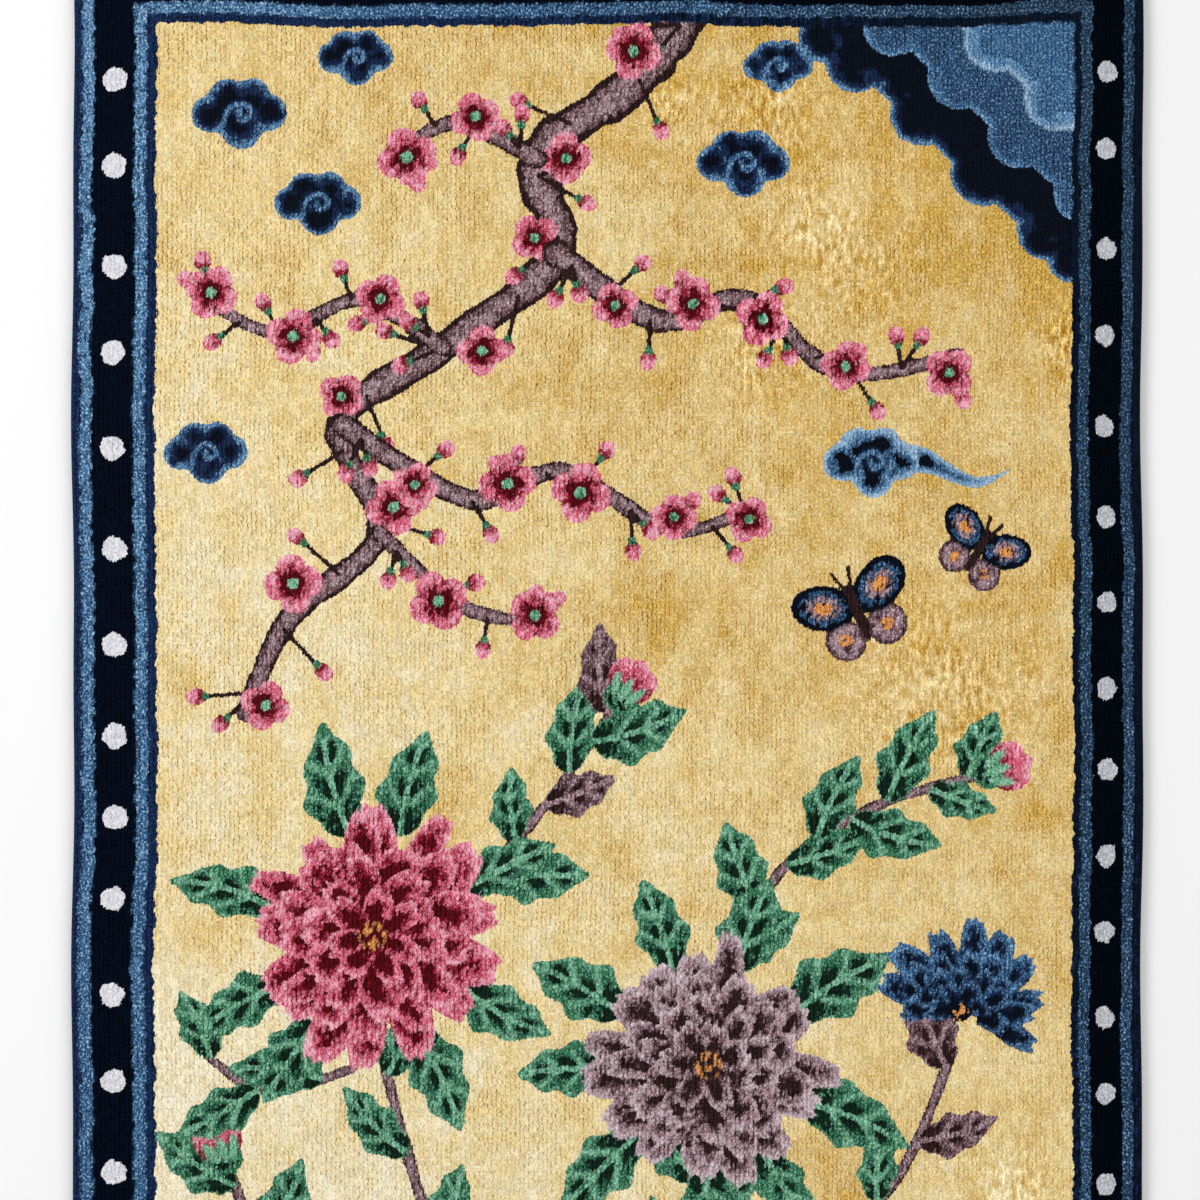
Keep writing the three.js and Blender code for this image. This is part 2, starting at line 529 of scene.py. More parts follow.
def garden_bud(chart, x, y, turn, dye):
    """A fat bud in green sepals at the end of a stem."""
    spot = Patch(chart, x, y, 60, turn)
    cup = spot.oval(8, 0, 11, 12)
    petals = np.minimum(spot.oval(22, 7, 14, 10, 0.35), spot.oval(22, -7, 14, 10, -0.35))
    petals = np.minimum(petals, spot.oval(26, 0, 14, 9))
    pale, deep = BUD_DYES[dye]
    spot.paint(petals < 1, dye)
    spot.paint((petals < 1) & (petals > 0.6), pale, 0.6)
    spot.paint(petals < 1, deep, 2.1 - spot.along / 14)
    spot.paint(cup < 1, "leaf")
    spot.paint(cup < 0.8, "forest", 0.5)
    for lean in (-0.7, 0.0, 0.7):
        spot.paint(spot.oval(15, 12 * lean, 9, 3.0, lean * 0.5) < 1, "mint")


def leafy_stem(chart, root, tip, leaves, bud, points):
    """A stem with leaves on alternate sides."""
    path = stroke(chart, points, root, tip, *WOOD_DYES)
    for (x, y), heading, side in spread(path, leaves, 0.6):
        turn = heading + side * between(0.6, 1.1)
        length = LEAF_LENGTH * between(0.75, 1.12)
        dyes = BROWN_LEAF if random.random() < BROWN_SHARE else GREEN_LEAF
        leaf(chart, x, y, turn, length, -side * between(0.05, 0.24), dyes)
    if bud:
        (x, y), heading = along_path(path, 1.0)
        garden_bud(chart, x, y, heading, bud)


def petal(chart, x, y, reach, dyes, ring, turn):
    """One petal with a notched tip: pale along its rim, darker inwards and towards its root."""
    spot = Patch(chart, x, y, reach * 1.15, turn)
    root = ring["root"] * reach
    length = ring["tip"] * between(0.88, 1.08) * reach - root
    half = ring["half"] * reach * between(0.85, 1.25)
    share = np.clip((spot.along - root) / length, 0, 1)
    side = np.abs(spot.side - between(-0.18, 0.18) * length * share**2)
    width = half * np.sin(np.pi * np.clip(0.12 + 0.88 * share, 0, 1) ** 1.2) ** 0.5
    notch = PETAL_NOTCH * np.abs(np.sin(1.5 * np.pi * side / half + between(0, 1)))
    rim = np.minimum(width - side, root + length - notch - spot.along)
    rim = np.where(spot.along > root, rim, -np.inf)
    inward = rim / half + 1.1 * (1 - share) + 0.8 * (spot.luck - 0.5) + 0.25 * spot.drift
    for dye, start in zip(dyes, PETAL_BANDS):
        spot.paint((rim > 0) & ((start == 0) | (inward > start)), dye)


def bloom_head(chart, x, y, reach, fan, turn, leaves, dyes):
    """A full bloom, or a fan of one seen from the side: rings of petals in a ring of leaves."""
    out = 0.74 * reach
    for index in range(leaves):
        heading = 2 * math.pi * (index + between(0.2, 0.8)) / leaves
        place = (x + out * math.cos(heading), y + out * math.sin(heading))
        bend = between(-0.3, 0.3)
        leaf(chart, *place, heading - bend, LEAF_LENGTH * between(1.0, 1.25), bend, GREEN_LEAF)
    angle = math.radians(fan)
    start = math.radians(turn) - angle / 2
    for number, ring in enumerate(PETAL_RINGS):
        count = max(3, round(ring["petals"] * fan / 360))
        for index in range(count):
            heading = start + angle * (index + 0.5 + 0.5 * (number % 2)) / count
            petal(chart, x, y, reach, dyes, ring, heading + between(-0.1, 0.1))
    spot = Patch(chart, x, y, reach)
    spot.paint(spot.out < 0.1 * reach, dyes[-1])
    spot.paint(spot.out < 0.1 * reach, "amber", 0.35)


def lobes_depth(right, up, lobes):
    """How deep each place lies inside round lobes run together, each an x, y and radius."""
    depths = [(radius - np.hypot(right - x, up - y)) / LOBE_BLEND for x, y, radius in lobes]
    return LOBE_BLEND * np.logaddexp.reduce(depths, axis=0)


def cloud_trail(chart, x, y, half, trail):
    """A cloud's trail: a wavy band that thins out to one side."""
    spot = Patch(chart, x, y, half * 3.4)
    out = spot.along / half * trail
    line = -0.16 + 0.24 * np.sin(2.4 * out - 0.6)
    width = 0.42 * np.clip(1 - out / 3.0, 0, 1) * (out > 0)
    depth = (width - np.abs(spot.side / half - line)) * half
    spot.paint_bands(depth, PALE_BANDS, BAND_ROUGHNESS["trail"])


def cloud(chart, x, y, half, trail):
    """A scrolled cloud: round lobes with a pale rim, and a curl in the middle."""
    if trail:
        cloud_trail(chart, x, y, half, trail)
    spot = Patch(chart, x, y, half * 1.2)
    lobes = [tuple(half * share for share in lobe.values()) for lobe in CLOUD_LOBES]
    depth = lobes_depth(spot.along, spot.side, lobes)
    spot.paint_bands(depth, PALE_BANDS if trail else CLOUD_BANDS, BAND_ROUGHNESS["cloud"])
    curl = [(x + right * half, y + up * half) for right, up in CLOUD_CURL]
    stroke(chart, curl, 0.16 * half, 0.2 * half, "edge_blue", "steel", "sky")


def cloud_corner(chart, right, top):
    """A corner of the field filled by a bank of cloud, paler towards the corner."""
    column = KNOT_COLUMNS - BORDER_KNOTS if right > 0 else BORDER_KNOTS
    row = KNOT_ROWS - BORDER_KNOTS if top > 0 else BORDER_KNOTS
    spot = Patch(chart, *chart.place(column, row), CORNER_REACH)
    inward = -spot.along * right
    down = -spot.side * top
    lobes = [tuple(lobe.values()) for lobe in CORNER_LOBES]
    farthest_in, _, _ = lobes[0]
    _, farthest_down, _ = lobes[-1]
    slope = math.hypot(farthest_in, farthest_down)
    bank = (farthest_in * farthest_down - inward * farthest_down - down * farthest_in) / slope
    for tier in CORNER_TIERS:
        back = tier["back"]
        filled = bank + BANK_FILL - math.sqrt(2) * back
        depth = np.maximum(lobes_depth(inward + back, down + back, lobes), filled)
        spot.paint_bands(depth, tier["bands"], BAND_ROUGHNESS["corner"])


def butterfly(chart, x, y, span, turn):
    """A butterfly seen from above, its head along its turn."""
    spot = Patch(chart, x, y, span * 0.75, math.radians(turn) + math.pi / 2)
    for wing in (-1, 1):
        fore = spot.oval(0.17 * span, wing * 0.26 * span, 0.19 * span, 0.27 * span, -wing * 0.5)
        hind = spot.oval(-0.16 * span, wing * 0.19 * span, 0.18 * span, 0.17 * span, wing * 0.4)
        spot.paint(hind < 1, "dusk")
        spot.paint(hind < 0.8, "mauve", 0.75)
        spot.paint(hind < 0.34, "amber", 0.8)
        spot.paint(fore < 1, "navy")
        spot.paint(fore < 0.8, "steel", 0.7)
        spot.paint(fore < 0.55, "mauve", 0.5)
        spot.paint(fore < 0.3, "amber", 0.8)
        feeler = np.abs(spot.side - wing * (0.02 * span + 0.28 * (spot.along - 0.2 * span)))
        spot.paint((feeler < 1.3) & (spot.along > 0.2 * span) & (spot.along < 0.42 * span), "bark")
    spot.paint(spot.oval(0.02 * span, 0, 0.26 * span, 0.045 * span) < 1, "bark")


# The border

def pearl_places(gaps, knots):
    """Centres of a run of pearls, in knots, with the first and last as far from the rug's ends."""
    steps = np.concatenate(([0], np.cumsum(gaps)))
    return PEARL_INSET + steps * (knots - 2 * PEARL_INSET) / steps[-1]


def pearl(chart, column, row, radius, dye):
    """A pearl at a place given in knots from the left and from the bottom."""
    x, y = chart.place(column, row)
    left, low = chart.place(column - radius, row - radius)
    spot = Patch(chart, x, y, 2 * (y - low))
    around = np.arctan2(spot.side, spot.along)
    dents = sum(PEARL_DENT * np.sin(waves * around + between(0, 6)) for waves in (2, 3, 5, 8))
    spot.paint(spot.oval(0, 0, x - left, y - low) < 1 + dents, dye)


def stripe_place(inset, side):
    """Which stripe an inset in knots falls in, from the edge, and the share of the way through it."""
    ends = np.cumsum([0, *(stripe[side] for stripe in STRIPES)])
    return np.interp(inset, ends, np.arange(len(ends)))


def border(chart):
    """Blue and navy stripes round the field, and a row of pearls in the navy."""
    rows, columns = chart.dye.shape
    across = np.arange(columns)[None, :] / (HALVES * SAMPLES)
    along = np.arange(rows)[:, None] / (HALVES * SAMPLES)
    across = across + STRIPE_WANDER * soft_noise(chart.x, chart.y, BORDER_SPAN, STRIPE_WAVE)
    across = across + STRIPE_TEETH * soft_noise(chart.x, chart.y, BORDER_SPAN, LENGTH / KNOT_ROWS)
    along = along + STRIPE_WANDER * soft_noise(chart.x, chart.y, STRIPE_WAVE, BORDER_SPAN)
    along = along + STRIPE_TEETH * soft_noise(chart.x, chart.y, WIDTH / KNOT_COLUMNS, BORDER_SPAN)
    place = np.minimum(stripe_place(across, "left"), stripe_place(KNOT_COLUMNS - across, "right"))
    place = np.minimum(place, stripe_place(np.minimum(along, KNOT_ROWS - along), "ends"))
    # Darker towards the right side and its top: partly dye, partly painted shade
    right = 2 * chart.x / WIDTH
    darkness = chart.luck + STRIPE_DARKNESS["middle"] + STRIPE_DARKNESS["right"] * right
    darkness += STRIPE_DARKNESS["upper_right"] * right * (2 * chart.y / LENGTH)
    for number, stripe in enumerate(STRIPES):
        where = (place >= number) & (place < number + 1)
        chart.dye[where] = DYE_NAMES.index(stripe["dye"])
        for dye, start in STRIPE_SHADES[stripe["dye"]]:
            chart.dye[where & (darkness > start)] = DYE_NAMES.index(dye)
    for run in PEARLS:
        if run["line"] == "column":
            places = [(run["at"], KNOT_ROWS - down) for down in pearl_places(run["gaps"], KNOT_ROWS)]
        else:
            places = [(over, run["at"]) for over in pearl_places(run["gaps"], KNOT_COLUMNS)[1:-1]]
        for column, row in places:
            pearl(chart, column, row, run["radius"], run["dye"])


def draw_chart():
    """The whole design, motif over motif, with the border last."""
    chart = Chart()
    motifs = (
        (cloud_corner, CORNERS),
        (cloud, CLOUDS),
        (flowering_bough, BOUGHS),
        (leafy_stem, STEMS),
        (bloom_head, BLOOMS),
        (butterfly, BUTTERFLIES),
    )
    for draw, rows in motifs:
        for row in rows:
            draw(chart, **row)
    border(chart)
    return chart


# From the chart to the points of the pile's grid

def on_grid(samples, reach):
    """Means of the chart's samples round each grid point, the nearest counting most."""
    for axis in (0, 1):
        last = samples.shape[axis] - 1
        points = np.arange(0, last + 1, SAMPLES)
        samples = sum(
            (reach + 1 - abs(step)) * samples.take(np.clip(points + step, 0, last), axis=axis)
            for step in range(-reach, reach + 1)
        ) / (reach + 1) ** 2
    return samples


def layer_colours(chart, names):
    """Colour at each grid point of the tufts of these dyes, carried a little way past their edge."""
    palette = linear(list(DYES.values()))
    chosen = chart.has(names)
    tinted = chosen[..., None] * palette[chart.dye]
    faint = 0.001
    weight = on_grid(chosen, 1) + faint * on_grid(chosen, 5)
    colours = on_grid(tinted, 1) + faint * on_grid(tinted, 5)
    return colours / np.maximum(weight, faint**2)[..., None]


def ground_colours(x, y):
    """Straw ground, pale to the lower left and golden to the upper right, mottled and stained; the change
    from left to right is partly dye and partly painted sheen and shade.
    """
    golden = GROUND_GOLD["middle"] + GROUND_GOLD["right"] * (2 * x / WIDTH)
    golden += GROUND_GOLD["top"] * (2 * y / LENGTH)
    for row in GROUND_MOTTLE:
        golden += row["share"] * soft_noise(x, y, row["across"], row["along"])
    for stain in STAINS:
        away = np.hypot(x - stain["x"], y - stain["y"]) / stain["reach"]
        golden += GROUND_GOLD["stain"] * np.exp(-(away**2))
    golden = np.clip(golden, -1, 1)[..., None]
    plain, palest, richest = linear((DYES[GROUND_DYE], PALEST_GROUND, RICHEST_GROUND))
    return np.where(golden < 0, plain + (plain - palest) * golden, plain + (richest - plain) * golden)


def pile_layers(chart, x, y):
    """The pile's layers of dye, each a colour and how far it covers the layers under it."""
    body_dyes = [name for name in DYE_NAMES if name not in (GROUND_DYE, *OVERLAY_DYES)]
    body_cover = 1 - on_grid(chart.has((GROUND_DYE,)), 2)
    overlay_cover = on_grid(chart.has(OVERLAY_DYES), 2)
    return {
        "Ground": np.dstack((ground_colours(x, y), np.ones(GRID))),
        "Body": np.dstack((layer_colours(chart, body_dyes), body_cover)),
        "Overlay": np.dstack((layer_colours(chart, OVERLAY_DYES), overlay_cover)),
    }


def flattened(layers):
    """One colour for each grid point, with the layers laid over one another."""
    colours = np.zeros((*GRID, 3))
    for layer in layers.values():
        colours += (layer[..., :3] - colours) * layer[..., 3:]
    return colours


# The pile's surface

def wave_at(waves, place):
    return sum(
        wave["reach"] * np.sin(2 * np.pi * place / wave["wave"] + wave["start"]) for wave in waves
    )


def drifted(x, y):
    """Places after the slow wander of the woven edges, as in the part's solid."""
    return x + wave_at(SIDE_WAVES, y), y + wave_at(END_WAVES, x) * (2 * y / LENGTH) ** 2


def trodden_rise(x, y):
    """How far the trodden pile stands above its clipped level, as in the part's solid."""
    wave = PILE_WAVES
    across = np.sin(2 * np.pi * x / wave["across"] + wave["start_across"])
    along = np.sin(2 * np.pi * y / wave["along"] + wave["start_along"])
    return wave["reach"] * across * along * (1 - (2 * x / WIDTH) ** 2) * (1 - (2 * y / LENGTH) ** 2)


def brushed_up(x, y):
    """How far the nap is brushed up, from 0 to 1."""
    nap = np.zeros_like(x)
    for patch in BRUSHED:
        away = np.hypot((x - patch["x"]) / patch["across"], (y - patch["y"]) / patch["along"])
        nap = np.maximum(nap, np.exp(-(away**2)))
    strength = BRUSHED_STRENGTH["mean"] + BRUSHED_STRENGTH["swing"] * soft_noise(x, y, 20, 26)
    return np.clip(nap * strength, 0, 1)


def pile_surface(x, y, nap, motif_cover):
    """Places of the pile's grid points, with the slits between knots and the grooves round motifs."""
    inset = np.minimum(WIDTH / 2 - np.abs(x), LENGTH / 2 - np.abs(y))
    inner = np.clip(inset / SHOULDER_RADIUS, 0, 1)
    at_slit = (np.arange(GRID[1]) % HALVES == 0)[None, :]
    at_row_gap = (np.arange(GRID[0]) % HALVES == 0)[:, None]
    slit = np.where(at_slit, SLIT["least"] + SLIT["more"] * random.random(GRID) ** 2, 0)
    row_gap = np.where(at_row_gap, ROW_GAP["least"] + ROW_GAP["more"] * random.random(GRID), 0)
    groove = 4 * CARVED * motif_cover * (1 - motif_cover)
    lumps = LUMP * soft_noise(x, y, 9, 15) + BRUSHED_LUMP * nap * soft_noise(x, y, 4, 9)
    jitter = random.normal(0, CROWN_JITTER, GRID)
    relief = np.maximum(slit, row_gap) + groove - lumps - jitter
    short = SHOULDER_RADIUS * (1 - inner)
    shoulder = SHOULDER_RADIUS - np.sqrt(SHOULDER_RADIUS**2 - short**2)
    z = FOUNDATION + PILE + trodden_rise(x, y) - shoulder - relief * inner
    wander_x = WANDER * soft_noise(x, y, 6, 18) + random.normal(0, STRAY, GRID)
    wander_y = WANDER * soft_noise(x, y, 18, 6) + random.normal(0, STRAY, GRID)
    x, y = drifted(x + wander_x * inner, y + wander_y * inner)
    middle = [(x.min() + x.max()) / 2, (y.min() + y.max()) / 2, 0]
    return np.stack((x, y, z), axis=-1) - middle


def grid_normals(surface):
    """Which way the pile's surface faces at each grid point."""
    normals = np.cross(np.gradient(surface, axis=1), np.gradient(surface, axis=0))
    return normals / np.linalg.norm(normals, axis=-1, keepdims=True)


# Meshes

def shade_face(mesh, quads, normals):
    """Shades a mesh's first faces by the normals given, so that they run on from piece to piece."""
    mesh.polygons.foreach_set("use_smooth", np.arange(len(mesh.polygons)) < len(quads))
    corner_normals = np.zeros((len(mesh.loops), 3))
    corner_normals[: quads.size] = normals[quads.ravel()]
    mesh.normals_split_custom_set(corner_normals)


def grid_faces(rows, columns):
    """Number of a grid's points, its four-sided faces, and its rim counterclockwise from above."""
    index = np.arange((rows + 1) * (columns + 1)).reshape(rows + 1, columns + 1)
    corners = (index[:-1, :-1], index[:-1, 1:], index[1:, 1:], index[1:, :-1])
    quads = np.stack(corners, axis=-1).reshape(-1, 4)
    rim = np.concatenate((index[0, :-1], index[:-1, -1], index[-1, :0:-1], index[:0:-1, 0]))
    return index.size, quads, rim


def wall_faces(low, high):
    """Four-sided faces between two rims, seen from outside."""
    return np.stack((low, np.roll(low, -1), np.roll(high, -1), high), axis=-1)


# Parts of each piece's flat map: the face across most of it, then the walls and the hidden face in strips
MAP_FACE = {"start": 0.05, "size": 0.94}
MAP_WALLS = {"start": 0.025, "size": 0.015}
MAP_HIDDEN = {"start": 0.002, "size": 0.015}


def flat_places(points, quads, walls, ring):
    """Flat map of a piece whose first faces are its main face."""
    low = points[:, :2].min(axis=0)
    size = np.ptp(points[:, :2], axis=0).max()
    flat = (points[:, :2] - low) / size
    face = MAP_FACE["start"] + MAP_FACE["size"] * flat[quads.ravel()]
    count = len(walls)
    step = np.arange(count)[:, None] / count
    wall_u = np.hstack((step, step + 1 / count, step + 1 / count, step))
    wall_v = MAP_WALLS["start"] + MAP_WALLS["size"] * np.tile((0.0, 0.0, 1.0, 1.0), (count, 1))
    wall = np.stack((wall_u, wall_v), axis=-1).reshape(-1, 2)
    hidden = MAP_HIDDEN["start"] + MAP_HIDDEN["size"] * flat[ring]
    return np.vstack((face, wall, hidden))


def closed_mesh(name, points, quads, walls, ring, layers, knots):
    """A grid's faces, the walls round them and one many-sided face, with dyes, knots and flat map."""
    mesh = bpy.data.meshes.new(name)
    mesh.vertices.add(len(points))
    mesh.vertices.foreach_set("co", (points * MM).ravel())
    corners = np.concatenate((quads.ravel(), walls.ravel(), ring))
    mesh.loops.add(len(corners))
    mesh.loops.foreach_set("vertex_index", corners)
    faces = len(quads) + len(walls) + 1
    mesh.polygons.add(faces)
    mesh.polygons.foreach_set("loop_start", np.arange(faces) * 4)
    mesh.update(calc_edges=True)
    for layer_name, layer in layers.items():
        dye = mesh.color_attributes.new(layer_name, "FLOAT_COLOR", "POINT")
        dye.data.foreach_set("color", layer.ravel())
    knot = mesh.attributes.new("Knot", "FLOAT_VECTOR", "POINT")
    knot.data.foreach_set("vector", knots.ravel())
    flat_map = mesh.uv_layers.new(name="OFBake")
    flat_map.data.foreach_set("uv", flat_places(points, quads, walls, ring).ravel())
    return mesh


def add_object(name, data):
    """Puts a mesh, a light or a camera in the scene."""
    thing = bpy.data.objects.new(name, data)
    bpy.context.scene.collection.objects.link(thing)
    return thing


def add_piece(mesh, material):
    """Puts a mesh in the scene as a piece that stands for the rug's solid."""
    piece = add_object(mesh.name, mesh)
    mesh.materials.append(material)
    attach(piece, "root")
    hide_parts("rug")
    return piece


# Painted shade: the pile's walls darken towards its foot
FOOT_SHADE = (0.6, 0.6, 0.6, 1.0)  # dyes look darker at the foot of the pile


def pile_block(name, rows, columns, surface, normals, layers, knots):
    """A closed block of pile over a run of rows and columns of faces, standing on the foundation."""
    window = (slice(rows[0], rows[1] + 1), slice(columns[0], columns[1] + 1))
    count, quads, rim = grid_faces(rows[1] - rows[0], columns[1] - columns[0])
    top = surface[window].reshape(-1, 3)
    foot = top[rim] * (1, 1, 0) + (0, 0, FOUNDATION)
    low = count + np.arange(len(rim))
    dyed = {}
    # The walls' lowest points take the painted foot shade
    for layer_name, layer in layers.items():
        colours = layer[window].reshape(-1, 4)
        dyed[layer_name] = np.vstack((colours, colours[rim] * FOOT_SHADE))
    knot = knots[window].reshape(-1, 3)
    mesh = closed_mesh(
        name,
        points=np.vstack((top, foot)),
        quads=quads,
        walls=wall_faces(low, rim),
        ring=low[::-1],
        layers=dyed,
        knots=np.vstack((knot, knot[rim])),
    )
    shade_face(mesh, quads, normals[window].reshape(-1, 3))
    return mesh


def foundation_slab(surface, colours, knots):
    """The woven back: flat on the floor, with each knot's dye showing through it, bound in dark blue."""
    count, quads, rim = grid_faces(KNOT_ROWS, KNOT_COLUMNS)
    outline = surface[::HALVES, ::HALVES].reshape(-1, 3)
    shrink = 1 - 2 * UNDERSIDE_INSET / np.array((WIDTH, LENGTH))
    back = outline * (*shrink, 0)
    waist = outline[rim] * (1, 1, 0) + (0, 0, UNDERSIDE_RISE)
    brim = outline[rim] * (1, 1, 0) + (0, 0, FOUNDATION)
    waist_index = count + np.arange(len(rim))
    brim_index = waist_index + len(rim)
    binding = np.tile(linear(DYES["edge_blue"]), (2 * len(rim), 1))
    dyed = np.vstack((colours[::HALVES, ::HALVES].reshape(-1, 3), binding))
    bare = np.zeros((len(dyed), 4))
    knot = knots[::HALVES, ::HALVES].reshape(-1, 3) * (1, 1, 0)
    return closed_mesh(
        "foundation",
        points=np.vstack((back, waist, brim)),
        quads=quads[:, ::-1],
        walls=np.vstack((wall_faces(rim, waist_index), wall_faces(waist_index, brim_index))),
        ring=brim_index,
        layers={"Ground": np.column_stack((dyed, np.ones(len(dyed)))), "Body": bare, "Overlay": bare},
        knots=np.vstack((knot, knot[rim], knot[rim])),
    )


# Materials

class Nodes:
    """A new material and its nodes; an input is a plain value or another node's output."""

    def __init__(self, name):
        self.material = bpy.data.materials.new(name)
        self.material.use_nodes = True
        self.tree = self.material.node_tree
        self.surface = self.tree.nodes["Principled BSDF"]

    def feed(self, node, inputs):
        for name, value in inputs.items():
            if isinstance(value, bpy.types.NodeSocket):
                self.tree.links.new(value, node.inputs[name])
            else:
                node.inputs[name].default_value = value

    def add(self, kind, inputs, **settings):
        node = self.tree.nodes.new(kind)
        for name, value in settings.items():
            setattr(node, name, value)
        self.feed(node, inputs)
        return node

    def attribute(self, name):
        return self.add("ShaderNodeAttribute", {}, attribute_name=name).outputs

    def math(self, operation, *values):
        return self.add("ShaderNodeMath", dict(enumerate(values)), operation=operation).outputs["Value"]

    def product(self, first, *others):
        for value in others:
            first = self.math("MULTIPLY", first, value)
        return first

    def vector(self, operation, *values):
        node = self.add("ShaderNodeVectorMath", dict(enumerate(values)), operation=operation)
        return node.outputs["Vector"]

    def ramp(self, value, start, end, low=0.0, high=1.0):
        """Runs smoothly from low, where the value is at start, to high, where it is at end."""
        inputs = {"Value": value, "From Min": start, "From Max": end, "To Min": low, "To Max": high}
        return self.add("ShaderNodeMapRange", inputs, interpolation_type="SMOOTHSTEP").outputs["Result"]

    def mixed(self, share, under, over):
        return self.add("ShaderNodeMix", {0: share, 6: under, 7: over}, data_type="RGBA").outputs[2]

    def chance(self, column, row):
        """A chance value from 0 to 1 for each whole column and row."""
        place = self.add("ShaderNodeCombineXYZ", {"X": column, "Y": row}).outputs["Vector"]
        cell = self.vector("FLOOR", place)
        noise = self.add("ShaderNodeTexWhiteNoise", {"Vector": cell}, noise_dimensions="2D")
        return noise.outputs["Value"]

    def noise(self, place, across, along):
        """Noise with so many lumps to a knot across and along."""
        stretched = self.vector("MULTIPLY", place, (across, along, 0.0))
        inputs = {"Vector": stretched, "Scale": 1.0, "Detail": 1.0}
        return self.add("ShaderNodeTexNoise", inputs, noise_dimensions="2D").outputs["Fac"]


# Look of each thread: darkness of its slits and row gaps, graininess of its dark and of its pale dyes,
# depth of its relief in metres, and shine
# The darkness of the slits and row gaps is painted shade, and the pale dyes' grain is partly painted
# highlight specks
THREADS = table(
    "name slit row_gap grain pale_grain relief shine",
    ("field_silk", 1.25, 0.3, 0.56, 0.46, 0.0007, 0.05),
    ("border_silk", 0.6, 0.25, 0.7, 0.42, 0.0007, 0.02),
    ("foundation", 0.5, 0.7, 0.4, 0.2, 0.0004, 0.02),
)
# Noises of the silk: how many lumps there are to a knot, across and along
NOISES = {
    "teeth": (3.0, 1.3),
    "slit_shade_patches": (0.07, 0.06),
    "sway": (0.5, 1.1),
    "lumps": (0.85, 0.42),
    "strands": (2.2, 2.0),
}
RAGGED = 0.45  # how far single tufts stray over the edge of a layer of dye
SWAY = 0.4  # how far columns of knots wander, in knots
SLIT_WIDTH = 0.17
ROW_GAP_WIDTH = 0.16
SLIT_FADE = 0.6  # slits at the right show by this share of those at the left
# Painted shade makes colours richer and darker in the gaps, and painted highlights paler and brighter
# where brushed-up nap glints
GAP_LOOK = {"richness": 2.0, "tone": 0.55}
GLINT_LOOK = {"richness": -0.2, "tone": 0.32}
# Painted shade in the dips of brushed-up nap
VALLEY_DEPTH = 0.4  # dips in brushed-up nap, as a share of the deepest gap
LEAST_RICHNESS = 0.35
BUMP_STRENGTH = 0.6


def dyed_layers(nodes, place):
    """The layers of dye over one another, with tufted edges."""
    teeth = nodes.noise(place, *NOISES["teeth"])
    stray = nodes.math("MULTIPLY_ADD", teeth, 2 * RAGGED, -RAGGED)
    colour = nodes.attribute("Ground")["Color"]
    for name in ("Body", "Overlay"):
        layer = nodes.attribute(name)
        cover = nodes.math("ADD", layer["Alpha"], stray)
        colour = nodes.mixed(nodes.ramp(cover, 0.42, 0.58), colour, layer["Color"])
    return colour


def knot_gaps(nodes, place, column, row, slit, row_gap):
    """How deep each place lies between knots, which sets its painted shade: marks in the slits, and
    fainter gaps between rows.
    """
    slit_shade_strength = nodes.product(
        nodes.ramp(column, 0, KNOT_COLUMNS, slit, SLIT_FADE * slit),
        nodes.ramp(nodes.noise(place, *NOISES["slit_shade_patches"]), 0.36, 0.62, 0.5, 1.2),
    )
    sway = nodes.math("MULTIPLY_ADD", nodes.noise(place, *NOISES["sway"]), 2 * SWAY, -SWAY)
    column = nodes.math("ADD", column, sway)
    nearest = nodes.math("ROUND", column)
    row = nodes.math("ADD", row, nodes.chance(nearest, 0.0))
    from_slit = nodes.math("PINGPONG", column, 0.5)
    from_row = nodes.math("PINGPONG", row, 0.5)
    slit_gap = nodes.product(
        nodes.ramp(from_slit, SLIT_WIDTH, 0.0),
        nodes.ramp(from_row, 0.0, 0.3, 0.05, 1.0),
        nodes.ramp(nodes.chance(nearest, row), -0.1, 1.0),
        slit_shade_strength,
    )
    row_mark = nodes.ramp(from_row, ROW_GAP_WIDTH, 0.0)
    between_rows = nodes.product(row_mark, nodes.chance(column, row), row_gap)
    return nodes.math("MAXIMUM", slit_gap, between_rows)


